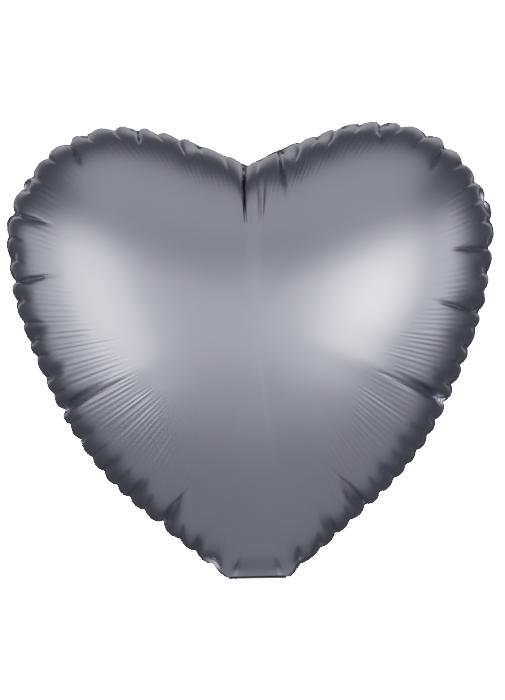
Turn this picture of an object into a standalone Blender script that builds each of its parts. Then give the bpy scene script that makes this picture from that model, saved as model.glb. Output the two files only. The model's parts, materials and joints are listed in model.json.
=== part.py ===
"""Heart-shaped foil balloon, filled, with its tail strip folded up behind it.

Two heart-shaped films are welded face to face round their rim. A flat valve made of two thin
plies runs from the mouth of the tail strip, over the fold at the bottom of the heart, into the
gas chamber. Metres, +Z up, the front film faces -Y. The origin is the middle of the fold line.
"""

import math

import bmesh
import bpy
import numpy as np

# Overall sizes of the filled balloon.
WIDTH = 0.370
HEIGHT = 0.3455
HALF_DEPTH = 0.097

# The right half of the heart's edge, from the notch to the flank above the neck, as shares of
# half the width and of the height. A smooth curve runs through the points.
HEART_SHAPE = (
    (0.000, 0.915),
    (0.190, 0.960),
    (0.400, 0.996),
    (0.600, 1.000),
    (0.815, 0.950),
    (0.974, 0.827),
    (0.985, 0.700),
    (0.915, 0.535),
    (0.690, 0.286),
    (0.385, 0.118),
)
CHAMBER_CENTRE = 0.575  # height that the rings of the film close on, as a share of HEIGHT
STEPS_PER_SPAN = 4
RINGS = 9

# Sheets, and what bonds them. Each bond keeps BOND_GAP to the sheet on either side of it.
FILM = 0.00003
PLY = 0.00004
BOND = 0.00002
BOND_GAP = 0.00002
SHEET_GAP = BOND + 2 * BOND_GAP
SEAM_GAP = 2 * PLY + 3 * SHEET_GAP
SEAM_WIDTH = 0.006

# Neck and tail strip.
NECK_WIDTH = 0.044
NECK_TAPER = 0.025  # height over which the flat neck swells into the full chamber
NECK_STEPS = 4
TAIL_LENGTH = 0.060
TAIL_CORNER = 0.006
CORNER_STEPS = 6
TAIL_CLEARANCE = math.radians(5.0)  # between the folded tail and the back film
TAIL_REACH = 1.1  # how far up the back film that clearance is taken, in tail lengths
FOLD_GAP = 0.0008  # bare film left out on each side of the fold line

# Valve, sizes along the neck measured from the fold.
VALVE_WIDTH = 0.028
VALVE_WELD = 0.003
VALVE_SIDE_GAP = 0.002  # between the valve and the heart's seam, at the fold
VALVE_INSIDE = 0.100
VALVE_MOUTH_INSET = 0.002
CROSS_BOND_AT = 0.004
CROSS_BOND_WIDTH = 0.008
COAT_MARGIN = 0.003

# Base colour, roughness and metallic value.
GRAPHITE_FILM = ((0.42, 0.41, 0.45), 0.32, 1.0)
SEALANT = ((0.62, 0.62, 0.65), 0.35, 0.0)
CLEAR_PLY = ((0.80, 0.82, 0.84), 0.25, 0.0)
RELEASE_INK = ((0.10, 0.35, 0.60), 0.50, 0.0)


def clear_scene():
    for obj in list(bpy.data.objects):
        bpy.data.objects.remove(obj)


def new_collection(name):
    collection = bpy.data.collections.new(name)
    bpy.context.scene.collection.children.link(collection)
    return collection


def new_material(name, finish):
    colour, roughness, metallic = finish
    material = bpy.data.materials.new(name)
    material.use_nodes = True
    shader = material.node_tree.nodes["Principled BSDF"]
    shader.inputs["Base Color"].default_value = (*colour, 1.0)
    shader.inputs["Roughness"].default_value = roughness
    shader.inputs["Metallic"].default_value = metallic
    return material


def link(name, data, material, collection):
    data.materials.append(material)
    obj = bpy.data.objects.new(name, data)
    collection.objects.link(obj)
    return obj


def surface(name, points, faces, material, collection):
    """An open sheet, which thicken() turns into a solid."""
    mesh = bpy.data.meshes.new(name)
    mesh.from_pydata([tuple(map(float, point)) for point in points], [], faces)
    mesh.shade_smooth()
    return link(name, mesh, material, collection)


def thicken(obj, thickness, offset):
    """Gives an open sheet its thickness, along its normals for offset 1, to both sides for 0."""
    solidify = obj.modifiers.new("Thickness", "SOLIDIFY")
    solidify.thickness = thickness
    solidify.offset = offset
    solidify.use_even_offset = True


def add_strip(name, size, centre, material, collection):
    """A flat box of the given X, Y and Z sizes round its centre."""
    mesh = bpy.data.meshes.new(name)
    shape = bmesh.new()
    bmesh.ops.create_cube(shape, size=1.0)
    bmesh.ops.scale(shape, vec=size, verts=shape.verts)
    shape.to_mesh(mesh)
    shape.free()
    strip = link(name, mesh, material, collection)
    strip.location = centre
    return strip


def smooth_curve(points, steps):
    """Points along a Catmull-Rom curve through the given ones, steps to a span."""
    ends = [2 * points[0] - points[1], *points, 2 * points[-1] - points[-2]]
    curve = []
    for before, start, end, after in zip(ends, ends[1:], ends[2:], ends[3:]):
        for step in range(steps):
            t = step / steps
            curve.append(
                start
                + 0.5 * t * (end - before)
                + t * t * (before - 2.5 * start + 2 * end - 0.5 * after)
                + 0.5 * t**3 * (3 * (start - end) + after - before)
            )
    return np.array([*curve, points[-1]])


def heart_edge():
    """Outer edge of the seam as (x, z), round from the right of the fold to its left."""
    right = [np.array([x * WIDTH / 2, z * HEIGHT]) for x, z in HEART_SHAPE]
    right.append(np.array([NECK_WIDTH / 2, FOLD_GAP]))
    half = smooth_curve(right, STEPS_PER_SPAN)
    half *= (WIDTH / 2, HEIGHT) / half.max(axis=0)
    half[-1] = right[-1]
    left = half * (-1, 1)
    return np.vstack([half[::-1], left[1:]])


def inset(edge, distance):
    """The edge moved towards the inside of the heart; its ends stay on the fold by the valve."""
    along = np.gradient(edge, axis=0)
    along /= np.linalg.norm(along, axis=1)[:, None]
    inner = edge + distance * np.column_stack([-along[:, 1], along[:, 0]])
    beside_valve = VALVE_WIDTH / 2 + VALVE_SIDE_GAP
    inner[0] = (beside_valve, FOLD_GAP)
    inner[-1] = (-beside_valve, FOLD_GAP)
    return inner


def membrane(points, triangles, fixed):
    """Deflection of a flat skin under an even load, held at the fixed points."""
    stiffness = np.zeros((len(points), len(points)))
    load = np.zeros(len(points))
    for corners in triangles:
        a, b, c = points[list(corners)]
        area = 0.5 * abs((b - a)[0] * (c - a)[1] - (b - a)[1] * (c - a)[0])
        sides = np.array([c - b, a - c, b - a])
        stiffness[np.ix_(corners, corners)] += sides @ sides.T / (4 * area)
        load[list(corners)] += area / 3
    free = np.setdiff1d(np.arange(len(points)), fixed)
    deflection = np.zeros(len(points))
    deflection[free] = np.linalg.solve(stiffness[np.ix_(free, free)], load[free])
    return deflection


class Chamber:
    """The gas chamber's half: rings of points that close on the centre, and their heights."""

    def __init__(self):
        self.outer = heart_edge()
        inner = inset(self.outer, SEAM_WIDTH)
        across = np.linspace(inner[-1], inner[0], NECK_STEPS + 1)[1:-1]
        edge = np.vstack([inner, across])
        centre = np.array([0.0, CHAMBER_CENTRE * HEIGHT])
        reach = 1 - (np.arange(RINGS) / RINGS) ** 2
        rings = [centre + share * (edge - centre) for share in reach]
        self.count = len(edge)
        self.points = np.vstack([*rings, centre[None]])
        self.faces = self.ring_faces()
        self.heights = self.filled_heights()

    def ring_faces(self):
        faces = []
        for ring in range(RINGS - 1):
            start = ring * self.count
            for i in range(self.count):
                j = (i + 1) % self.count
                faces.append((start + i, start + j, start + self.count + j, start + self.count + i))
        last = (RINGS - 1) * self.count
        top = RINGS * self.count
        faces += [(last + i, last + (i + 1) % self.count, top) for i in range(self.count)]
        return faces

    def filled_heights(self):
        """Height of the film over the seam: the root of a membrane's deflection, as gas gives."""
        triangles = [(f[0], f[1], f[2]) for f in self.faces]
        triangles += [(f[0], f[2], f[3]) for f in self.faces if len(f) == 4]
        deflection = membrane(self.points, triangles, np.arange(self.count))
        above_fold = np.maximum(self.points[:, 1] - FOLD_GAP, 0.0)
        height = np.sqrt(deflection) * above_fold / (above_fold + NECK_TAPER)
        return HALF_DEPTH * height / height.max()

    def tail_tilt(self):
        """Angle of the folded tail from straight up, just clear of the back film."""
        height = self.points[:, 1]
        near = (np.abs(self.points[:, 0]) < NECK_WIDTH) & (height > 2 * FOLD_GAP)
        near &= np.hypot(height, self.heights) < TAIL_LENGTH * TAIL_REACH
        slopes = np.arctan2(self.heights[near], height[near])
        return slopes.max() + TAIL_CLEARANCE


def add_film(name, chamber, side, material, collection):
    """One film: the domed wall and the flat seam land round it. side is -1 in front."""
    wall = np.insert(chamber.points, 1, side * (SEAM_GAP / 2 + chamber.heights), axis=1)
    land = np.insert(chamber.outer, 1, side * SEAM_GAP / 2, axis=1)
    first = len(wall)
    faces = list(chamber.faces)
    faces += [(first + i, first + i + 1, i + 1, i) for i in range(len(land) - 1)]
    if side > 0:
        faces = [face[::-1] for face in faces]
    film = surface(name, np.vstack([wall, land]), faces, material, collection)
    thicken(film, FILM, 1)


def add_rim_weld(chamber, material, collection):
    """The fused sealant between the two films' seam lands, open at the neck."""
    count = len(chamber.outer)
    flat = np.vstack([chamber.outer, chamber.points[:count]])
    faces = [(i, i + 1, count + i + 1, count + i) for i in range(count - 1)]
    weld = surface("rim_weld", np.insert(flat, 1, 0.0, axis=1), faces, material, collection)
    thicken(weld, SEAM_GAP - 2 * BOND_GAP, 0)


def add_valve(prefix, front, start, end, ply, weld, collection):
    """Two plies and the two welds along their edges, which leave a channel between them.

    front is the way along Y that the front ply lies: -1 in the heart, 1 in the folded tail.
    """
    middle = (start + end) / 2
    length = end - start
    made = []
    for face, way in (("front", front), ("back", -front)):
        name = f"{prefix}valve_{face}_ply"
        level = way * (SHEET_GAP + PLY) / 2
        made.append(
            add_strip(name, (VALVE_WIDTH, PLY, length), (0, level, middle), ply, collection)
        )
    for edge, way in (("left", -1), ("right", 1)):
        name = f"{prefix}valve_{edge}_weld"
        x = way * (VALVE_WIDTH - VALVE_WELD) / 2
        made.append(
            add_strip(name, (VALVE_WELD, BOND, length), (x, 0, middle), weld, collection)
        )
    return made


def tail_outline():
    """The tail strip as (x, z): square at the fold, with rounded corners at its mouth."""
    half = NECK_WIDTH / 2
    turns = [math.pi / 2 * step / CORNER_STEPS for step in range(CORNER_STEPS + 1)]
    corner = [
        (
            half - TAIL_CORNER * (1 - math.cos(turn)),
            TAIL_LENGTH - TAIL_CORNER * (1 - math.sin(turn)),
        )
        for turn in turns
    ]
    left = [(-x, z) for x, z in reversed(corner)]
    return [(-half, FOLD_GAP), (half, FOLD_GAP), *corner, *left]


def add_tail_film(name, level, material, collection):
    """A flat film with the tail's outline, drawn in X-Y and stood up."""
    outline = tail_outline()
    curve = bpy.data.curves.new(name, "CURVE")
    curve.dimensions = "2D"
    curve.fill_mode = "BOTH"
    curve.extrude = FILM / 2
    spline = curve.splines.new("POLY")
    spline.points.add(len(outline) - 1)
    for point, (x, z) in zip(spline.points, outline):
        point.co = (x, z, 0.0, 1.0)
    spline.use_cyclic_u = True
    film = link(name, curve, material, collection)
    film.rotation_euler = (math.pi / 2, 0.0, 0.0)
    film.location = (0.0, level, 0.0)
    return film


def add_tail(materials, tilt, collection):
    """The folded strip: built standing up from the fold, then tilted back about it."""
    film, weld, ply, ink = materials
    film_level = (SEAM_GAP + FILM) / 2
    made = [
        add_tail_film("neck_front_film", film_level, film, collection),
        add_tail_film("neck_back_film", -film_level, film, collection),
    ]
    seam_width = (NECK_WIDTH - VALVE_WIDTH) / 2 - BOND_GAP
    seam_end = TAIL_LENGTH - TAIL_CORNER
    seam_size = (seam_width, SEAM_GAP - 2 * BOND_GAP, seam_end - FOLD_GAP)
    seam_middle = (seam_end + FOLD_GAP) / 2
    for edge, way in (("left", -1), ("right", 1)):
        x = way * (NECK_WIDTH - seam_width) / 2
        made.append(
            add_strip(f"neck_{edge}_weld", seam_size, (x, 0, seam_middle), weld, collection)
        )
    valve_end = TAIL_LENGTH - VALVE_MOUTH_INSET
    made += add_valve("neck_", 1, FOLD_GAP, valve_end, ply, weld, collection)
    bond_size = (VALVE_WIDTH, BOND, CROSS_BOND_WIDTH)
    bond_middle = CROSS_BOND_AT + CROSS_BOND_WIDTH / 2
    bond_level = (SEAM_GAP - SHEET_GAP) / 2
    for face, way in (("front", 1), ("back", -1)):
        centre = (0, way * bond_level, bond_middle)
        made.append(add_strip(f"neck_{face}_cross_bond", bond_size, centre, weld, collection))
    coat_width = VALVE_WIDTH - 2 * VALVE_WELD - 2 * COAT_MARGIN
    coat_size = (coat_width, BOND, CROSS_BOND_WIDTH + 2 * COAT_MARGIN)
    made.append(
        add_strip("neck_release_coat", coat_size, (0, 0, bond_middle), ink, collection)
    )
    fold = bpy.data.objects.new("fold_axis", None)
    collection.objects.link(fold)
    for obj in made:
        obj.parent = fold
    fold.rotation_euler = (-tilt, 0.0, 0.0)


def main():
    clear_scene()
    balloon = new_collection("heart_foil_balloon")
    film = new_material("graphite_film", GRAPHITE_FILM)
    weld = new_material("sealant", SEALANT)
    ply = new_material("clear_ply", CLEAR_PLY)
    ink = new_material("release_ink", RELEASE_INK)
    chamber = Chamber()
    add_film("front_film", chamber, -1, film, balloon)
    add_film("back_film", chamber, 1, film, balloon)
    add_rim_weld(chamber, weld, balloon)
    add_valve("", -1, FOLD_GAP, VALVE_INSIDE, ply, weld, balloon)
    tilt = chamber.tail_tilt()
    add_tail((film, weld, ply, ink), tilt, balloon)
    print(f"tail folded {math.degrees(tilt):.2f} degrees from straight up")
    bpy.context.view_layer.update()


main()
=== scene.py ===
"""The heart-shaped foil balloon's looks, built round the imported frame. Metres, +Z up."""
import json
import math

import bpy
import numpy as np
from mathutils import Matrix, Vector
from mathutils.bvhtree import BVHTree


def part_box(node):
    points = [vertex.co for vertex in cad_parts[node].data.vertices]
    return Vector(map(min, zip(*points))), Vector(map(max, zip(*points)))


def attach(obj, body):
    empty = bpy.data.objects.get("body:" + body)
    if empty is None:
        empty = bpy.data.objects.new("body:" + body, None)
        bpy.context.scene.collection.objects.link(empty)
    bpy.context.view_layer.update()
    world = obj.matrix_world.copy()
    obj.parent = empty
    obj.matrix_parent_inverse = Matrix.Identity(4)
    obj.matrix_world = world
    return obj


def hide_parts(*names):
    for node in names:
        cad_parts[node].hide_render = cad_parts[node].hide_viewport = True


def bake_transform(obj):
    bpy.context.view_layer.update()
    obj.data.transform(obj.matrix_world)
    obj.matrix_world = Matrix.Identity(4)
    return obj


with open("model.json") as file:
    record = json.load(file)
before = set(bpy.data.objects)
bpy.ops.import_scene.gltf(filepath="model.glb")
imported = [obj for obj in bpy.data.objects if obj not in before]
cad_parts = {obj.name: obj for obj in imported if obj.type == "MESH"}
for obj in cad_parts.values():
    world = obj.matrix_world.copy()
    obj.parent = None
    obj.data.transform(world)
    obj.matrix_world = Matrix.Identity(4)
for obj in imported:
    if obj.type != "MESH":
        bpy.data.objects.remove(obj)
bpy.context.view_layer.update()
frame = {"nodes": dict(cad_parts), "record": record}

# ---------------------------------------------------------------- sizes from the frame
FILM_LOW, FILM_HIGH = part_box("front_film")
HEIGHT = FILM_HIGH.z
HALF_DEPTH = -FILM_LOW.y
CENTRE_SHARE = 0.575  # of the height
CENTRE = np.array([0.0, CENTRE_SHARE * HEIGHT])  # x and z of the point that the rows run out from
FILM = 0.00003  # one film's thickness
SEAM_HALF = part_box("rim_weld")[1].y
SEAM_LEVEL = FILM_HIGH.y  # where the front film's seam land lies, nearest the back film
FOLD_GAP = FILM_LOW.z

# ---------------------------------------------------------------- smooth filled shape
FACET_PASSES = 60  # of softening, which take the CAD's facets off the outline
CORNER_SHARE = 0.02  # how near a corner the outline stays sharp, as a share of the way round
NECK_TAPER = 0.037  # height over which the film swells above the fold, clear of the tail
DOME_RINGS = 20
DOME_AROUND = 128

# ---------------------------------------------------------------- film grid
AROUND = 384  # points round the rim at first; doubled once the wrinkles have formed
ROWS = 54
RIM_CROWDING = 0.55  # how far the rows draw together towards the rim
INNER_SHARE = 0.10  # inside this share of the way to the rim the film is a smooth cap
CAP_ROWS = 8
CAP_START = 0.05  # where the cap's first row lies, as a share of the cap
FINE_AROUND = 1344  # points round the rim in the finished mesh
BROAD_WAVES = 14  # swells slower than about this many a round are left to the smooth shape
NECK_ROWS = 14  # rows from the rim over which the wrinkles fade in above the tail

# ---------------------------------------------------------------- inflation
VALLEY_SEED = 7
STEPS = (450, 450)
PUSH = 9e-7  # gas pressure on a point of average area, as metres a step
DRAG = 0.96  # share of its movement that a point keeps from one step to the next
RELAX = 5  # a point moves by its neighbours' summed pulls divided by this
BEND_AROUND = 0.0015  # stiffness against bending round the rim
BEND_ALONG = 0.010  # and from the centre to the rim
SLACK_KEPT = 0.75  # share of the flat film's spare width that is left to wrinkle

# ---------------------------------------------------------------- creases and valleys
# Creases that run in from the rim: degrees clockwise from straight up, seen from
# the front, then millimetres in from the rim and sideways along it by the crease's inner end.
CREASES = (
    (11, 55, 25),
    (35, 25, 15),
    (50, 30, 10),
    (60, 15, 0),
    (75, 40, -10),
    (90, 50, -15),
    (115, 60, 0),
    (135, 20, 0),
    (150, 50, 15),
    (160, 15, 0),
    (170, 15, 0),
    (175, 20, 5),
    (185, 20, -5),
    (195, 15, 0),
    (205, 50, -15),
    (220, 20, 0),
    (230, 20, 0),
    (245, 60, 0),
    (280, 45, 15),
    (295, 35, 5),
    (315, 30, -10),
    (330, 25, -10),
    (358, 60, 0),
)
LONG_FROM = 0.024  # a crease longer than this is a long one
BACK_LENGTH = (0.6, 1.2)  # a crease's length on the back film, as a share of the front's
NECK_SHARES = (0.481, 0.519)  # shares of the way round between which the rim is the fold
PUCKER_PITCH = 0.0160  # between valleys, where the creases leave room
PITCH_JITTER = 0.2
PUCKER_LENGTH = (0.008, 0.020)
PUCKER_LEAN = 0.0012
SCALLOP = (0.0020, 0.0034)  # how far a valley draws the rim in, least and most
CREASE_NOTCH = 0.0016  # how much further a long crease does
BULGE_POWER = 0.7  # below 1, the rim bulges squarely between two valleys
RIM_SWAY = 0.0016  # how far a valley takes the rim to the front or the back
SWAY_SPREAD = (0.4, 1.3)
CALM_NOTCH = (0.030, 0.055)  # beside the notch the rim runs straight, then scallops grow
CALM_SHARE = 0.15  # share of a scallop that is left beside the notch
LONG_DIP = 0.0050  # how deep the films dip at a valley before they are inflated
SHORT_DIP = 0.0030
DIP_WIDTH = 0.0022  # of that dip at the rim
DIP_WIDENING = 0.03  # and how much wider it gets for each metre in
DIP_FADE_POWER = 0.6

# ---------------------------------------------------------------- the seam's land
CURL_SEED = 3
FLANGE_ROWS = 2
FLANGE_STEP = 0.0024  # width of one row of it
FLANGE_IN_NECK = 0.0001  # the same at the fold, too narrow to show
CURL_MEAN = math.radians(66)
CURL_SPREAD = math.radians(12)
CURL_LIMITS = (math.radians(30), math.radians(85))
CURL_STRIDE = 4  # grid points to one random value
CURL_PASSES = 16

# ---------------------------------------------------------------- fine folds
FOLD_SEED = 11
# Ripples between the creases: share of the way round, strength, and the band they fill, as the
# distances from the rim where they start and end.
RIPPLES = (
    (0.000, 0.8, 0.022, 0.072),
    (0.030, 0.6, 0.020, 0.062),
    (0.070, 0.5, 0.012, 0.042),
    (0.150, 0.3, 0.012, 0.036),
    (0.210, 0.7, 0.016, 0.050),
    (0.280, 0.9, 0.018, 0.060),
    (0.360, 1.0, 0.020, 0.068),
    (0.420, 0.8, 0.018, 0.060),
    (0.470, 0.3, 0.010, 0.040),
    (0.530, 0.3, 0.010, 0.040),
    (0.585, 0.8, 0.018, 0.062),
    (0.640, 1.1, 0.020, 0.074),
    (0.700, 1.1, 0.020, 0.074),
    (0.760, 0.9, 0.018, 0.056),
    (0.820, 0.6, 0.014, 0.046),
    (0.900, 0.4, 0.012, 0.040),
    (0.960, 0.5, 0.016, 0.050),
)
RIPPLE_PITCH = 0.0050
RIPPLE_HEIGHT = 0.00010
RIPPLE_SWAY = 0.12
RIPPLE_HEIGHTS = (0.3, 1.4)  # spread of their heights
RIPPLE_ENDS = (0.80, 1.08)  # spread of the places where they end
RIPPLE_FADE = 0.014
FOLD_WIDTH = 0.0009  # how quickly a crease's own walls rise
FOLD_SIDES = (0.7, 1.4)  # the wall on one side is steeper than that on the other
FOLD_KEPT = 0.35  # share of its length over which a crease stays at full depth
SHOULDER_WIDTH = 0.0045  # how quickly the film rises beside it
LONG_FOLD = (0.0034, 0.0015)  # depth of a long crease's walls and shoulders
SHORT_FOLD = (0.0010, 0.0014)
WALLS_FROM_RIM = 0.004  # distance over which the walls begin
SHOULDERS_FROM_RIM = 0.006
FOLDS_OFF_NECK = 0.017  # nearer the fold's middle than this share there are no folds at the rim
FOLDS_GROW = 0.008  # share over which they come in beside it
FLAT_ABOVE_FOLD = 0.001  # above the fold itself they come in over these two distances
FOLDS_RISE = 0.006
WRINKLES_OFF_NECK = 0.019  # the same two shares for the simulated wrinkles
WRINKLES_GROW = 0.012


def unit(vectors):
    length = np.linalg.norm(vectors, axis=-1, keepdims=True)
    return vectors / np.maximum(length, 1e-12)


def smoothstep(t):
    t = np.clip(t, 0.0, 1.0)
    return t * t * (3 - 2 * t)


def catmull(p0, p1, p2, p3, t):
    return 0.5 * (
        2 * p1
        + (p2 - p0) * t
        + (2 * p0 - 5 * p1 + 4 * p2 - p3) * t**2
        + (3 * p1 - p0 - 3 * p2 + p3) * t**3
    )


def softened(loop, passes):
    """Blends each value of a closed loop with its neighbours, passes times over."""
    for _ in range(passes):
        loop = 0.25 * np.roll(loop, 1) + 0.5 * loop + 0.25 * np.roll(loop, -1)
    return loop


def share_from_fold(arc, perimeter):
    """Distance round the rim from the middle of the fold, as a share of the whole way."""
    return np.abs(arc / perimeter - 0.5)


def resample_loop(values, count):
    """Rows of a closed loop, evenly resampled to count rows on a smooth curve."""
    size = len(values)
    at = np.arange(count) * size / count
    i = at.astype(int)
    t = (at - i).reshape(-1, *[1] * (values.ndim - 1))
    return catmull(*(values[(i + k) % size] for k in (-1, 0, 1, 2)), t)


def resample_rows(values, count):
    """Rows of an open strip, evenly resampled to count rows on a smooth curve."""
    last = len(values) - 1
    at = np.linspace(0, last, count)
    i = np.minimum(at.astype(int), last - 1)
    t = (at - i).reshape(-1, *[1] * (values.ndim - 1))
    first_back = 2 * values[:1] - values[1:2]
    last_on = 2 * values[last:] - values[last - 1 : last]
    padded = np.concatenate([first_back, values, last_on])
    return catmull(padded[i], padded[i + 1], padded[i + 2], padded[i + 3], t)


# ---------------------------------------------------------------- outline
class Outline:
    """The heart's edge, read off the CAD film as distance from the centre at each angle."""

    SAMPLES = 1440

    def __init__(self):
        mesh = frame["nodes"]["front_film"].data
        points = [v.co.copy() for v in mesh.vertices]
        tree = BVHTree.FromPolygons(points, [tuple(p.vertices) for p in mesh.polygons])
        level = SEAM_LEVEL - 0.5 * FILM
        self.angles = math.pi / 2 - np.linspace(0, 2 * math.pi, self.SAMPLES, endpoint=False)
        centre = Vector((CENTRE[0], level, CENTRE[1]))
        reach = []
        for angle in self.angles:
            way = Vector((math.cos(angle), 0.0, math.sin(angle)))
            hit = tree.ray_cast(centre + way, -way)[0]
            reach.append((hit - centre).length)
        self.reach = self.smoothed(np.array(reach))
        way = np.column_stack([np.cos(self.angles), np.sin(self.angles)])
        points = CENTRE + way * self.reach[:, None]
        steps = np.linalg.norm(np.roll(points, -1, 0) - points, axis=1)
        self.arc = np.concatenate([[0.0], np.cumsum(steps)])
        self.perimeter = self.arc[-1]

    def smoothed(self, reach):
        """Takes the facets off, away from the notch and the two corners at the fold."""
        soft = softened(reach, FACET_PASSES)
        from_fold = share_from_fold(np.arange(self.SAMPLES), self.SAMPLES)
        near_fold = smoothstep(1 - (from_fold - CORNER_SHARE) / CORNER_SHARE)
        near_notch = smoothstep(1 - (0.5 - from_fold) / CORNER_SHARE)
        sharp = near_fold + near_notch
        return reach * sharp + soft * (1 - sharp)

    def even_angles(self, count):
        at = np.arange(count) * self.perimeter / count
        angles = np.append(self.angles, self.angles[0] - 2 * math.pi)
        return np.interp(at, self.arc, angles)

    def arc_at(self, degrees):
        """Distance round the rim from the notch to a direction clockwise from straight up."""
        return float(np.interp(degrees, np.linspace(0, 360, self.SAMPLES + 1), self.arc))

    def reach_at(self, angles):
        turn = (math.pi / 2 - angles) / (2 * math.pi) * self.SAMPLES
        return np.interp(turn, np.arange(self.SAMPLES + 1), np.append(self.reach, self.reach[0]))


# ---------------------------------------------------------------- filled shape without wrinkles
def membrane(points, rings, count):
    """Deflection of a flat skin under an even load; the first ring is held."""
    i = np.arange(count)
    j = (i + 1) % count
    faces = []
    for ring in range(rings - 1):
        a, b = ring * count + i, ring * count + j
        faces += [np.column_stack([a, b, b + count]), np.column_stack([a, b + count, a + count])]
    last = (rings - 1) * count
    faces.append(np.column_stack([last + i, last + j, np.full(count, rings * count)]))
    faces = np.vstack(faces)
    p = points[faces]
    sides = np.stack([p[:, 2] - p[:, 1], p[:, 0] - p[:, 2], p[:, 1] - p[:, 0]], 1)
    area = 0.5 * np.abs(sides[:, 0, 0] * sides[:, 1, 1] - sides[:, 0, 1] * sides[:, 1, 0])
    local = np.einsum("nik,njk->nij", sides, sides) / (4 * area)[:, None, None]
    size = len(points)
    stiffness = np.zeros((size, size))
    load = np.zeros(size)
    for row in range(3):
        np.add.at(load, faces[:, row], area / 3)
        for col in range(3):
            np.add.at(stiffness, (faces[:, row], faces[:, col]), local[:, row, col])
    free = np.arange(count, size)
    deflection = np.zeros(size)
    deflection[free] = np.linalg.solve(stiffness[np.ix_(free, free)], load[free])
    return deflection


def dome(outline, count):
    """Heights over the seam; row r lies at share 1 - (r / rings)^2 of the way to the rim."""
    rings, coarse = DOME_RINGS, DOME_AROUND
    angles = outline.even_angles(coarse)
    way = np.column_stack([np.cos(angles), np.sin(angles)])
    edge = way * outline.reach_at(angles)[:, None]
    share = 1 - (np.arange(rings) / rings) ** 2
    points = np.vstack([CENTRE + s * edge for s in share] + [CENTRE[None]])
    above_fold = np.maximum(points[:, 1] - FOLD_GAP, 0)
    height = np.sqrt(np.maximum(membrane(points, rings, coarse), 0))
    height *= above_fold / (above_fold + NECK_TAPER)
    height *= (HALF_DEPTH - abs(SEAM_LEVEL)) / height.max()
    grid = np.vstack([height[:-1].reshape(rings, coarse), np.full((1, coarse), height[-1])])
    return resample_loop(grid.T, count).T


class Layout:
    """The front film before it wrinkles: rows of points from inside to the rim, filled and flat."""

    PROFILE = 401

    def __init__(self, outline, count):
        angles = outline.even_angles(count)
        self.reach = outline.reach_at(angles)
        self.way = np.column_stack([np.cos(angles), np.sin(angles)])
        self.arc_round = np.arange(count) * outline.perimeter / count
        self.perimeter = outline.perimeter
        heights = dome(outline, count)
        in_from_rim = np.linspace(1, 0, self.PROFILE)
        self.share = 1 - in_from_rim**2
        fine = resample_rows(heights, self.PROFILE)[::-1]
        self.radial = self.share[:, None] * self.reach
        step = np.hypot(np.diff(self.radial, axis=0), np.diff(fine, axis=0))
        self.arc = np.vstack([np.zeros(count), np.cumsum(step, axis=0)])
        self.heights = fine
        start = np.array([np.interp(INNER_SHARE, self.share, a) for a in self.arc.T])
        self.total = self.arc[-1]
        self.rows = ROWS
        part = np.linspace(0, 1, self.rows)[:, None]
        part = (1 - RIM_CROWDING) * part + RIM_CROWDING * (1 - (1 - part) ** 2)
        self.along = start + (self.total - start) * part
        self.filled = self.lift(self.along)
        self.flat = CENTRE + self.along[..., None] * self.way

    def lift(self, along):
        """Points on the smooth filled film at the given distances from the centre."""
        pairs = list(zip(along.T, self.arc.T, self.radial.T, self.heights.T))
        radial = np.stack([np.interp(at, arc, r) for at, arc, r, _ in pairs], 1)
        height = np.stack([np.interp(at, arc, h) for at, arc, _, h in pairs], 1)
        x = CENTRE[0] + radial * self.way[:, 0]
        z = CENTRE[1] + radial * self.way[:, 1]
        return np.stack([x, -height, z], -1)

    def both_films(self):
        """The filled rows from the front's inside, over the rim, to the back's inside."""
        return np.vstack([self.filled, self.filled[:-1][::-1] * (1, -1, 1)])


# ---------------------------------------------------------------- wrinkling
class Valleys:
    """Every valley on the rim, in order: where it is, how long, how it leans and draws in."""

    def __init__(self, outline, rng):
        perimeter = outline.perimeter
        found = [(outline.arc_at(turn), 0.001 * long, 0.001 * lean) for turn, long, lean in CREASES]
        marks = sorted([v[0] for v in found] + [at * perimeter for at in NECK_SHARES])
        for start, end in zip(marks, marks[1:] + [marks[0] + perimeter]):
            middle = ((start + end) / 2 / perimeter) % 1
            if NECK_SHARES[0] < middle < NECK_SHARES[1]:
                continue
            count = max(1, int(round((end - start) / PUCKER_PITCH)))
            for k in range(1, count):
                jitter = rng.uniform(-PITCH_JITTER, PITCH_JITTER)
                at = (start + (end - start) * (k + jitter) / count) % perimeter
                length = rng.uniform(*PUCKER_LENGTH)
                found.append((at, length, rng.normal(0, PUCKER_LEAN)))
        found.sort()
        self.at, self.length, self.lean = np.array(found).T
        long = self.length > LONG_FROM
        self.depth = rng.uniform(*SCALLOP, len(found)) + CREASE_NOTCH * long
        ways = np.where(np.arange(len(found)) % 2, 1, -1)
        self.sway = ways * RIM_SWAY * rng.uniform(*SWAY_SPREAD, len(found))
        self.dip = np.where(long, LONG_DIP, SHORT_DIP)
        near, far = CALM_NOTCH
        from_notch = np.minimum(self.at, perimeter - self.at)
        lively = smoothstep((from_notch - near) / (far - near))
        kept = CALM_SHARE + (1 - CALM_SHARE) * lively
        self.depth *= kept
        self.sway *= kept
        self.perimeter = perimeter

    def between(self, arc, values):
        """The values at the valleys before and after each arc position, and the share between."""
        ends = self.at[-1] - self.perimeter, self.at[0] + self.perimeter
        at = np.concatenate([ends[:1], self.at, ends[1:]])
        looped = np.concatenate([[values[-1]], values, [values[0]]])
        i = np.searchsorted(at, arc, side="right") - 1
        return looped[i], looped[i + 1], (arc - at[i]) / (at[i + 1] - at[i])


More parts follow.
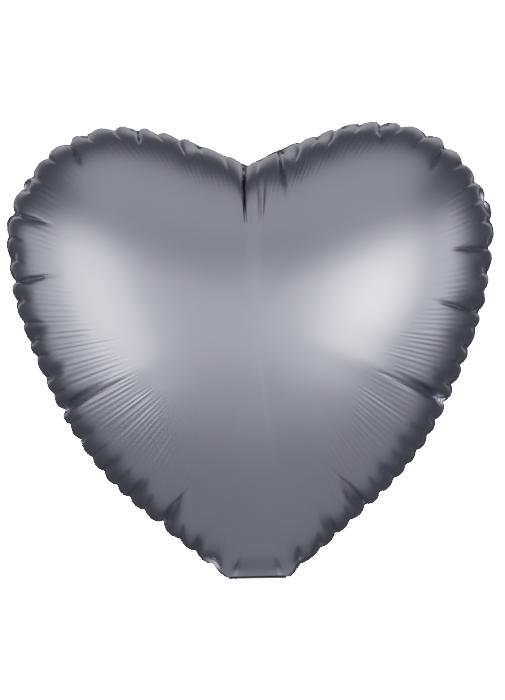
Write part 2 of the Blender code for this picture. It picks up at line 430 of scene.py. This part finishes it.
def shaped_rim(layout, valleys):
    """The seam's line: drawn in at each valley, bulging between them, swaying front to back."""
    before, after, share = valleys.between(layout.arc_round, valleys.depth)
    depth = before + (after - before) * smoothstep(share)
    drawn_in = depth * (1 - np.sin(math.pi * share) ** BULGE_POWER)
    before, after, share = valleys.between(layout.arc_round, valleys.sway)
    sway = before + (after - before) * smoothstep(share)
    from_fold = share_from_fold(layout.arc_round, layout.perimeter)
    in_neck = from_fold < NECK_SHARES[1] - 0.5
    keep = 1.0 - in_neck
    radial = layout.reach - drawn_in * keep
    x = CENTRE[0] + radial * layout.way[:, 0]
    z = CENTRE[1] + radial * layout.way[:, 1]
    return np.column_stack([x, sway * keep, z]), in_neck


def shaped_flange(layout, rim_line, in_neck):
    """The seam land outside that line, which curls to the front and back as it goes round."""
    rng = np.random.default_rng(CURL_SEED)
    curl = softened(rng.normal(0, 1, len(rim_line) // CURL_STRIDE), CURL_PASSES)
    curl = resample_loop(curl, len(rim_line))
    angle = CURL_MEAN + CURL_SPREAD * curl / curl.std()
    angle = np.where(in_neck, 0, np.clip(angle, *CURL_LIMITS))
    x, z = (layout.way * np.cos(angle)[:, None]).T
    out = np.column_stack([x, np.sin(angle), z])
    width = np.where(in_neck, FLANGE_IN_NECK, FLANGE_STEP)[:, None]
    return np.stack([rim_line + out * width * (k + 1) for k in range(FLANGE_ROWS)])


def pucker(points, layout, rim, valleys, rng):
    """Starts the valleys: both films dip at each of them and meet the rim's own line."""
    distance = layout.total - layout.along
    depth = np.zeros(points.shape[:2])
    half = layout.perimeter / 2
    for at, length, lean, dip in zip(valleys.at, valleys.length, valleys.lean, valleys.dip):
        for side in (0, 1):
            here = distance if side == 0 else distance[:-1][::-1]
            long = length * (1 if side == 0 else rng.uniform(*BACK_LENGTH))
            centre = at + lean * np.clip(here / long, 0, 1)
            gap = (layout.arc_round - centre + half) % layout.perimeter - half
            fade = np.clip(1 - here / long, 0, 1) ** DIP_FADE_POWER
            place = slice(0, rim + 1) if side == 0 else slice(rim + 1, None)
            width = DIP_WIDTH + DIP_WIDENING * here
            depth[place] += dip * np.exp(-((gap / width) ** 2)) * fade
    inward = -unit(points - np.array([CENTRE[0], 0.0, CENTRE[1]]))
    return points + inward * depth[..., None]


def spring(a, b, rest):
    """Half the move along a-b that brings it to its rest length."""
    way = b - a
    length = np.sqrt((way * way).sum(-1)) + 1e-12
    return way * (0.5 * (length - rest) / length)[..., None]


def rest_lengths(flat):
    beside = np.roll(flat, -1, 1)
    pairs = ((beside, flat), (flat[1:], flat[:-1]), (beside[1:], flat[:-1]), (flat[1:], beside[:-1]))
    return [np.linalg.norm(a - b, axis=-1) for a, b in pairs]


def pull(grid, rest):
    """Summed moves of every grid point towards its neighbours' rest lengths."""
    around, along, across, back_across = rest
    move = np.zeros_like(grid)
    step = spring(grid, np.roll(grid, -1, 1), around)
    move += step - np.roll(step, 1, 1)
    step = spring(grid[:-1], grid[1:], along)
    move[:-1] += step
    move[1:] -= step
    step = 0.5 * spring(grid[:-1], np.roll(grid, -1, 1)[1:], across)
    move[:-1] += step
    move[1:] -= np.roll(step, 1, 1)
    step = 0.5 * spring(np.roll(grid, -1, 1)[:-1], grid[1:], back_across)
    move[1:] -= step
    move[:-1] += np.roll(step, 1, 1)
    return move


def bent(grid):
    second = np.roll(grid, -1, 1) + np.roll(grid, 1, 1) - 2 * grid
    return np.roll(second, -1, 1) + np.roll(second, 1, 1) - 2 * second


def settle(grid, layout, rim_line, steps):
    """Lets the gas and the films' lengths work on the grid, with the seam's line held."""
    rim = layout.rows - 1
    filled = layout.both_films()
    flat = np.vstack([layout.flat, layout.flat[:-1][::-1]])
    pairs = zip(rest_lengths(filled), rest_lengths(flat))
    rest = [short + SLACK_KEPT * (long - short) for short, long in pairs]
    grid = grid.copy()
    grid[rim] = rim_line
    free = np.ones((*grid.shape[:2], 1))
    free[rim] = 0
    before = grid.copy()
    for _ in range(steps):
        along = np.zeros_like(grid)
        along[1:-1] = grid[2:] - grid[:-2]
        along[0] = 2 * (grid[1] - grid[0])
        along[-1] = 2 * (grid[-1] - grid[-2])
        area = np.cross(np.roll(grid, -1, 1) - np.roll(grid, 1, 1), along)
        push = area * (PUSH / np.linalg.norm(area, axis=-1).mean())
        drift = (grid - before) * DRAG
        before = grid.copy()
        grid = grid + (drift + push) * free
        move = pull(grid, rest) / RELAX - BEND_AROUND * bent(grid)
        fourth = grid[4:] - 4 * grid[3:-1] + 6 * grid[2:-2] - 4 * grid[1:-3] + grid[:-4]
        fourth[rim - 3 : rim] = 0  # the films fold freely over the seam
        move[2:-2] -= BEND_ALONG * fourth
        grid = grid + move * free
    return grid


def inflate(outline):
    """Both films as rows from the front's inside, over the rim, to the back's inside."""
    rng = np.random.default_rng(VALLEY_SEED)
    valleys = Valleys(outline, rng)
    grid = None
    for level, steps in enumerate(STEPS):
        layout = Layout(outline, AROUND * 2**level)
        rim_line, in_neck = shaped_rim(layout, valleys)
        if grid is None:
            grid = pucker(layout.both_films(), layout, layout.rows - 1, valleys, rng)
        else:
            grid = np.stack([resample_loop(row, AROUND * 2**level) for row in grid])
        grid = settle(grid, layout, rim_line, steps)
    return grid, shaped_flange(layout, rim_line, in_neck), layout, valleys


# ---------------------------------------------------------------- fine mesh
def surface_normals(rows, side):
    """Outward unit normals of a film's rows, which run from the centre to the rim."""
    around = np.roll(rows, -1, 1) - np.roll(rows, 1, 1)
    outward = np.gradient(rows, axis=0)
    return side * unit(np.cross(outward, around))


def fold_depth(arc, film, plan, valleys, side, rng):
    """How far the film dips for the creases. film and plan are distances from the rim, over the
    film and straight across."""
    depth = np.zeros(plan.shape)
    half = valleys.perimeter / 2
    for at, length, lean in zip(valleys.at, valleys.length, valleys.lean):
        walls, shoulders = LONG_FOLD if length > LONG_FROM else SHORT_FOLD
        if side > 0:
            length *= rng.uniform(*BACK_LENGTH)
            lean *= rng.uniform(-1, 1)
        part = np.clip(plan / length, 0, 1)
        gap = (arc - at - lean * part**1.5 + half) % valleys.perimeter - half
        width = FOLD_WIDTH * np.where(gap > 0, *FOLD_SIDES)
        fade = 1 - smoothstep((part - FOLD_KEPT) / (1 - FOLD_KEPT))
        fade *= smoothstep(film / WALLS_FROM_RIM)
        depth += walls * fade * np.exp(-np.abs(gap) / width)
        fade = (1 - smoothstep(part)) * smoothstep(film / SHOULDERS_FROM_RIM)
        depth += shoulders * fade * np.exp(-np.abs(gap) / SHOULDER_WIDTH)
    return depth


def ripple_height(arc, plan, perimeter, rng):
    """Fine parallel ripples along the rim, fading out towards the centre and the rim."""
    shares, strength, near, far = np.array(RIPPLES).T
    share = arc / perimeter
    strength, near, far = (np.interp(share, shares, v, period=1) for v in (strength, near, far))
    count = int(round(perimeter / RIPPLE_PITCH))
    sway = rng.normal(0, RIPPLE_SWAY, count)
    height = rng.uniform(*RIPPLE_HEIGHTS, count)
    end = rng.uniform(*RIPPLE_ENDS, count)
    sway, height, end = (resample_loop(v, len(arc)) for v in (sway, height, end))
    wave = np.cos(2 * math.pi * (share * count + sway))
    fade = smoothstep((plan - 0.5 * near) / near)
    fade *= smoothstep((far * end - plan) / RIPPLE_FADE)
    return RIPPLE_HEIGHT * strength * height * wave * fade


def add_folds(rows, side, layout, valleys):
    """Presses the creases and ripples into one film's fine rows."""
    rng = np.random.default_rng(FOLD_SEED + side)
    steps = np.linalg.norm(np.diff(rows, axis=0), axis=2)
    inward = np.cumsum(steps[::-1], axis=0)[::-1]
    film = np.vstack([inward, np.zeros((1, rows.shape[1]))])
    radial = np.hypot(rows[..., 0] - CENTRE[0], rows[..., 2] - CENTRE[1])
    plan = np.maximum(radial[-1] - radial, 0)
    arc = np.arange(rows.shape[1]) * layout.perimeter / rows.shape[1]
    move = ripple_height(arc, plan, layout.perimeter, rng)
    move -= fold_depth(arc, film, plan, valleys, side, rng)
    from_fold = share_from_fold(arc, layout.perimeter)
    off_neck = smoothstep((from_fold - FOLDS_OFF_NECK) / FOLDS_GROW)
    move *= np.maximum(off_neck, smoothstep((film - FLAT_ABOVE_FOLD) / FOLDS_RISE))
    return rows + surface_normals(rows, side) * move[..., None]


def broad(values):
    """The slow part of values round the rim: little is left beyond BROAD_WAVES waves a round."""
    waves = np.fft.rfft(values, axis=1)
    order = np.arange(waves.shape[1]).reshape(1, -1, 1)
    return np.fft.irfft(waves * np.exp(-((order / BROAD_WAVES) ** 2)), values.shape[1], axis=1)


def fitted(grid, flange, layout, rim):
    """Puts the wrinkles on the smooth filled shape, and keeps the mean outline where it was."""
    filled = layout.both_films()
    change = grid - filled
    wrinkles = change - broad(change)
    from_rim = np.abs(np.arange(len(grid)) - rim)[:, None] / NECK_ROWS
    from_fold = share_from_fold(layout.arc_round, layout.perimeter)
    off_neck = smoothstep((from_fold - WRINKLES_OFF_NECK) / WRINKLES_GROW)
    wrinkles *= np.maximum(off_neck, smoothstep(from_rim))[..., None]
    land = flange - grid[rim]
    grid = filled + wrinkles
    flange = land + grid[rim]
    edge = np.hypot(flange[-1, :, 0], flange[-1, :, 2] - CENTRE[1])
    ratio = 1 + (broad((layout.reach / edge)[None, :, None])[0, :, 0] - 1) * off_neck
    result = []
    for points in (grid, flange):
        moved = points.copy()
        x, z = points[..., 0] - CENTRE[0], points[..., 2] - CENTRE[1]
        share = np.clip(np.hypot(x, z) / edge, 0, 1)
        scale = 1 + (ratio - 1) * share**2
        moved[..., 0] = CENTRE[0] + x * scale
        moved[..., 2] = np.maximum(CENTRE[1] + z * scale, FOLD_GAP)
        result.append(moved)
    return result


def cap_rows(first, second, shares):
    """Smooth rows inside the first one, meeting its height and slope: even powers of share."""
    edge = INNER_SHARE
    middle = first.mean(0)
    slope = (second[:, 1] - first[:, 1]) / (shares[1] - shares[0])
    top = (first[:, 1] - slope * edge / 2).mean()
    rise = first[:, 1] - top
    fourth = (slope * edge / 2 - rise) / edge**4
    squared = rise / edge**2 - fourth * edge**2
    rows = []
    for share in np.linspace(CAP_START, 1, CAP_ROWS, endpoint=False) * edge:
        row = middle + (first - middle) * share / edge
        row[:, 1] = top + squared * share**2 + fourth * share**4
        rows.append(row)
    return rows, np.array([middle[0], top, middle[2]])


def film_rows(layout, grid, flange, valleys, side):
    """One film's rows from its centre to the seam's edge. side is -1 for the front film."""
    rim = layout.rows - 1
    rows = grid[: rim + 1] if side < 0 else grid[rim:][::-1]
    reach = np.hypot(rows[:2, :, 0], rows[:2, :, 2] - CENTRE[1]).mean(1)
    shares = INNER_SHARE * reach / reach[0]
    cap, middle = cap_rows(rows[0], rows[1], shares)
    rows = np.stack([resample_loop(row, FINE_AROUND) for row in rows])
    rows = add_folds(rows, side, layout, valleys)
    others = [resample_loop(row, FINE_AROUND) for row in (*cap, *flange)]
    rows = np.stack([*others[:CAP_ROWS], *rows, *others[CAP_ROWS:]])
    return rows + surface_normals(rows, side) * abs(SEAM_LEVEL), middle


def seam_rows(grid, flange, rim):
    """The fused land between the films, as a closed section carried round the rim."""
    middle = np.stack([resample_loop(row, FINE_AROUND) for row in (grid[rim], *flange)])
    out = surface_normals(middle, -1) * SEAM_HALF
    front, back = middle + out, middle - out
    return np.concatenate([front, back[::-1], front[:1]])


def add_mesh(name, points, faces, material):
    mesh = bpy.data.meshes.new(name)
    mesh.from_pydata(points.tolist(), [], faces)
    mesh.shade_smooth()
    mesh.materials.append(material)
    piece = bpy.data.objects.new(name, mesh)
    bpy.context.scene.collection.objects.link(piece)
    return piece


def band_faces(rows, count, first, flip, closed):
    """Quads between neighbouring rows of points, whose numbers begin at first."""
    i = np.arange(count if closed else count - 1)
    j = (i + 1) % count
    faces = []
    for row in range(rows - 1):
        a, b = first + row * count + i, first + row * count + j
        quads = np.column_stack([a, a + count, b + count, b])
        faces += (quads[:, ::-1] if flip else quads).tolist()
    return faces


def add_film(name, rows, side, centre, material):
    """A film's mesh: a fan at the centre, then quads between neighbouring rows."""
    count = rows.shape[1]
    points = np.vstack([centre[None], rows.reshape(-1, 3)])
    fan = [(0, 1 + i, 1 + (i + 1) % count)[:: -side] for i in range(count)]
    return add_mesh(name, points, fan + band_faces(len(rows), count, 1, side > 0, True), material)


# ---------------------------------------------------------------- tail strip
FACE = next(m for m in frame["record"]["mounts"] if m["name"] == "tail_face")["axis"]
OUT = np.array(FACE)  # away from the balloon, off the folded tail's outer face
DOWN_TAIL = np.array([0.0, -OUT[2], OUT[1]])  # from the fold to the tail's end
TAIL_POINTS = frame["nodes"]["neck_front_film"].data.vertices
TAIL_LENGTH = float(max(DOWN_TAIL @ point.co for point in TAIL_POINTS))
TAIL_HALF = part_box("neck_front_film")[1].x
TAIL_CORNER = 0.006
WELD_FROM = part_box("neck_right_weld")[0].x
TAIL_SEED = 21
TAIL_ROWS = 130
TAIL_COLUMNS = 89
TAIL_RIB = 0.00003  # height of the ribs pressed into the welds
TAIL_RIB_PITCH = 0.0015
RIBS_FROM = (0.001, 0.002)  # along the tail, where the ribs begin and over what distance
TAIL_SLACK = 0.0007  # how far the loose film stands off the valve
SLACK_FROM = (0.004, 0.008)  # the same two distances for the slack
SLACK_SIDE = 0.006  # distance from the weld over which it grows
SLACK_WAVES = 6
WAVES_ACROSS = (60, 260)  # radians a metre
WAVES_ALONG = (40, 200)
TURN_STEPS = 8


def tail_path(side):
    """The strip's middle line from the heart's edge, round the fold and up the tail, with its
    outward way. side is -1 for the front film, which goes round the outside."""
    level = abs(SEAM_LEVEL) + 0.5 * FILM
    up = np.array([0.0, 0.0, 1.0])
    off = np.array([0.0, side, 0.0])
    far = -side * OUT
    if side < 0:
        turn = np.linspace(0, math.pi - math.atan2(-OUT[2], OUT[1]), TURN_STEPS)[:, None]
        ways = off * np.cos(turn) - up * np.sin(turn)
        bend = ways * level
        start = 0.0
    else:
        bisector = unit(up + DOWN_TAIL)
        start = level / math.tan(0.5 * math.acos(DOWN_TAIL[2]))
        bend = (bisector * math.hypot(level, start))[None]
        ways = unit(off + far)[None]
    tail = np.linspace(start, TAIL_LENGTH, TAIL_ROWS)[1:, None]
    first = off * (level + FOLD_GAP) + up * 1.5 * FOLD_GAP
    path = np.vstack([first, bend, far * level + DOWN_TAIL * tail])
    ways = np.vstack([off, ways, np.repeat(far[None], len(tail), 0)])
    along = np.concatenate([np.zeros(1 + len(bend)), tail[:, 0]])
    return path, ways, along


def tail_rows(side, rng):
    """One tail film: flat at its welds, with a little slack where it lies over the valve."""
    path, ways, along = tail_path(side)
    over = np.maximum(along - (TAIL_LENGTH - TAIL_CORNER), 0)
    half = TAIL_HALF - TAIL_CORNER + np.sqrt(np.maximum(TAIL_CORNER**2 - over**2, 0))
    across = np.linspace(-1, 1, TAIL_COLUMNS)
    x = half[:, None] * across
    begin, over = SLACK_FROM
    loose = smoothstep((WELD_FROM - np.abs(x)) / SLACK_SIDE)
    loose *= smoothstep((along - begin) / over)[:, None]
    waves = np.zeros(x.shape)
    for _ in range(SLACK_WAVES):
        u, v = rng.uniform(*WAVES_ACROSS), rng.uniform(*WAVES_ALONG)
        waves += np.sin(u * x + v * along[:, None] + rng.uniform(0, 2 * math.pi))
    slack = TAIL_SLACK * loose * (0.5 + waves / (2 * SLACK_WAVES))
    begin, over = RIBS_FROM
    ribs = 0.5 + 0.5 * np.cos(2 * math.pi * along / TAIL_RIB_PITCH)
    ribs *= smoothstep((along - begin) / over)
    rise = slack + TAIL_RIB * (1 - loose) * ribs[:, None]
    points = path[:, None] + ways[:, None] * rise[..., None]
    points[..., 0] = x
    return points


def add_tail_film(name, side, material):
    rows = tail_rows(side, np.random.default_rng(TAIL_SEED + side))
    faces = band_faces(len(rows), TAIL_COLUMNS, 0, side > 0, False)
    return add_mesh(name, rows.reshape(-1, 3), faces, material)


# ---------------------------------------------------------------- materials
TINT_SCALE = 9.0
TINT_DETAIL = 3.0
TINT_STOPS = (0.3, 0.7)
GRAIN_DETAIL = 2.0
GRAIN_STRENGTH = 0.12
GRAIN_DEPTH = 0.00002
# For each slot: name, colour, how far it wanders, roughness from and to, metallic, alpha and the
# grain's scale.
MATERIALS = {
    "graphite_foil": ("satin_foil", (0.42, 0.405, 0.50), 0.04, (0.32, 0.42), 1.0, 1.0, 2600.0),
    "sealant": ("fused_sealant", (0.045, 0.044, 0.050), 0.10, (0.16, 0.30), 0.0, 1.0, 900.0),
    "valve_ply": ("clear_ply", (0.80, 0.81, 0.84), 0.03, (0.10, 0.22), 0.0, 0.45, 1400.0),
    "release_ink": ("release_coat", (0.62, 0.63, 0.66), 0.06, (0.55, 0.75), 0.0, 1.0, 3200.0),
}
PALE_FLOOR = ("pale_floor", (0.93, 0.93, 0.93), 0.01, (0.7, 0.9), 0.0, 1.0, 300.0)


def shader_of(material):
    material.use_nodes = True
    return material.node_tree.nodes["Principled BSDF"]


def noise(material, scale, detail):
    nodes, links = material.node_tree.nodes, material.node_tree.links
    place = nodes.new("ShaderNodeTexCoord")
    texture = nodes.new("ShaderNodeTexNoise")
    texture.inputs["Scale"].default_value = scale
    texture.inputs["Detail"].default_value = detail
    links.new(place.outputs["Object"], texture.inputs["Vector"])
    return texture.outputs["Fac"]


def tinted(material, fac, colour, spread):
    """Lets the base colour wander by spread either way as fac goes from low to high."""
    tint = material.node_tree.nodes.new("ShaderNodeValToRGB")
    for stop, place, much in zip(tint.color_ramp.elements, TINT_STOPS, (1 - spread, 1 + spread)):
        stop.position = place
        stop.color = (*[much * c for c in colour], 1)
    links = material.node_tree.links
    links.new(fac, tint.inputs["Fac"])
    links.new(tint.outputs["Color"], shader_of(material).inputs["Base Color"])


def roughened(material, fac, low, high):
    """Drives the roughness and a fine bump from fac."""
    nodes, links = material.node_tree.nodes, material.node_tree.links
    shader = shader_of(material)
    rough = nodes.new("ShaderNodeMapRange")
    rough.inputs["To Min"].default_value = low
    rough.inputs["To Max"].default_value = high
    bump = nodes.new("ShaderNodeBump")
    bump.inputs["Strength"].default_value = GRAIN_STRENGTH
    bump.inputs["Distance"].default_value = GRAIN_DEPTH
    links.new(fac, rough.inputs["Value"])
    links.new(rough.outputs["Result"], shader.inputs["Roughness"])
    links.new(fac, bump.inputs["Height"])
    links.new(bump.outputs["Normal"], shader.inputs["Normal"])


def made_material(name, colour, spread, rough, metallic, alpha, grain):
    material = bpy.data.materials.new(name)
    shader = shader_of(material)
    shader.inputs["Metallic"].default_value = metallic
    shader.inputs["Alpha"].default_value = alpha
    tinted(material, noise(material, TINT_SCALE, TINT_DETAIL), colour, spread)
    roughened(material, noise(material, grain, GRAIN_DETAIL), *rough)
    return material


# ---------------------------------------------------------------- stage, light, camera
FRAME_TALL = 0.532  # metres of the rim's plane that the picture's height takes in
LENS = 120.0
SENSOR = 36.0
VIEW_CENTRE = (0.0, 0.0, 0.1740)
ROLL = math.radians(1.3)  # the balloon leans a little in the picture
FLOOR_DROP = 0.16
FLOOR_HALF = 6.0
FLOOR_GLOW = 40.0  # as bright as the world behind it, so that both show as white
SEEN_STRENGTH = 40.0
DIM_COLOUR = (0.9, 0.9, 1.0, 1)  # what the foil sees of the world, much dimmer
DIM_STRENGTH = 0.10
AIM = (0, 0, 0.18)
# Each light: name, place, width and height, power and the point it faces.
LIGHTS = (
    ("fill_box", (0.0, -2.8, 0.2), (6.0, 5.0), 28, AIM),
    ("front_box", (0.1, -2.3, 0.10), (2.4, 1.5), 7, AIM),
    ("right_front_box", (1.25, -1.65, 0.12), (0.8, 0.9), 28, AIM),
    ("left_box", (-1.45, -1.20, 0.10), (0.9, 1.4), 20, AIM),
    ("left_side_box", (-1.9, -0.25, 0.10), (1.2, 1.4), 5, AIM),
    ("right_box", (1.6, -0.5, 0.15), (0.5, 1.2), 4, AIM),
    ("top_box", (0.0, -0.9, 2.1), (3.5, 1.8), 11, AIM),
    ("back_box", (0.0, 2.2, 1.1), (3.0, 2.0), 12, AIM),
    ("bottom_card", (0.0, -0.72, -0.15), (2.0, 1.5), 2.6, (0, -0.72, 1.0)),
)


def add_camera():
    data = bpy.data.cameras.new("camera")
    data.lens = LENS
    data.sensor_width = SENSOR
    camera = bpy.data.objects.new("camera", data)
    distance = LENS / SENSOR * FRAME_TALL
    camera.location = (VIEW_CENTRE[0], -distance, VIEW_CENTRE[2])
    camera.rotation_euler = (math.pi / 2, ROLL, 0.0)
    bpy.context.scene.collection.objects.link(camera)
    bpy.context.scene.camera = camera


def add_area(name, place, size, power, aim):
    data = bpy.data.lights.new(name, "AREA")
    data.shape = "RECTANGLE"
    data.size, data.size_y = size
    data.energy = power
    light = bpy.data.objects.new(name, data)
    light.location = place
    light.visible_camera = False
    light.rotation_euler = (Vector(aim) - Vector(place)).to_track_quat("-Z", "Y").to_euler()
    bpy.context.scene.collection.objects.link(light)


def add_world():
    """White to the camera, dim to everything else."""
    world = bpy.data.worlds.new("studio")
    bpy.context.scene.world = world
    world.use_nodes = True
    nodes, links = world.node_tree.nodes, world.node_tree.links
    seen = nodes["Background"]
    seen.inputs["Color"].default_value = (1, 1, 1, 1)
    seen.inputs["Strength"].default_value = SEEN_STRENGTH
    dim = nodes.new("ShaderNodeBackground")
    dim.inputs["Color"].default_value = DIM_COLOUR
    dim.inputs["Strength"].default_value = DIM_STRENGTH
    rays = nodes.new("ShaderNodeLightPath")
    mix = nodes.new("ShaderNodeMixShader")
    links.new(rays.outputs["Is Camera Ray"], mix.inputs["Fac"])
    links.new(dim.outputs["Background"], mix.inputs[1])
    links.new(seen.outputs["Background"], mix.inputs[2])
    links.new(mix.outputs["Shader"], nodes["World Output"].inputs["Surface"])


add_camera()
add_world()
for light in LIGHTS:
    add_area(*light)

finish = {slot: made_material(*facts) for slot, facts in MATERIALS.items()}
for node in frame["nodes"].values():
    for held in node.material_slots:
        held.material = finish[held.material.name]

outline = Outline()
grid, flange, layout, valleys = inflate(outline)
rim = layout.rows - 1
grid, flange = fitted(grid, flange, layout, rim)
for name, node, side in (("front_foil", "front_film", -1), ("back_foil", "back_film", 1)):
    rows, middle = film_rows(layout, grid, flange, valleys, side)
    piece = add_film(name, rows, side, middle, finish["graphite_foil"])
    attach(piece, "balloon")
    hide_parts(node)

section = seam_rows(grid, flange, rim)
seam_faces = band_faces(len(section), FINE_AROUND, 0, False, True)
seam = add_mesh("rim_seam", section.reshape(-1, 3), seam_faces, finish["sealant"])
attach(seam, "balloon")
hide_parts("rim_weld")

for name, node, side in (
    ("tail_outer_foil", "neck_front_film", -1),
    ("tail_inner_foil", "neck_back_film", 1),
):
    piece = add_tail_film(name, side, finish["graphite_foil"])
    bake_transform(piece)
    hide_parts(node)

pale = made_material(*PALE_FLOOR)
shader_of(pale).inputs["Emission Color"].default_value = (1, 1, 1, 1)
shader_of(pale).inputs["Emission Strength"].default_value = FLOOR_GLOW
corners = np.array([(-1, -1, 0), (1, -1, 0), (1, 1, 0), (-1, 1, 0)]) * FLOOR_HALF
corners[:, 2] = -FLOOR_DROP
floor = add_mesh("floor", corners, [(0, 1, 2, 3)], pale)
floor.visible_glossy = False
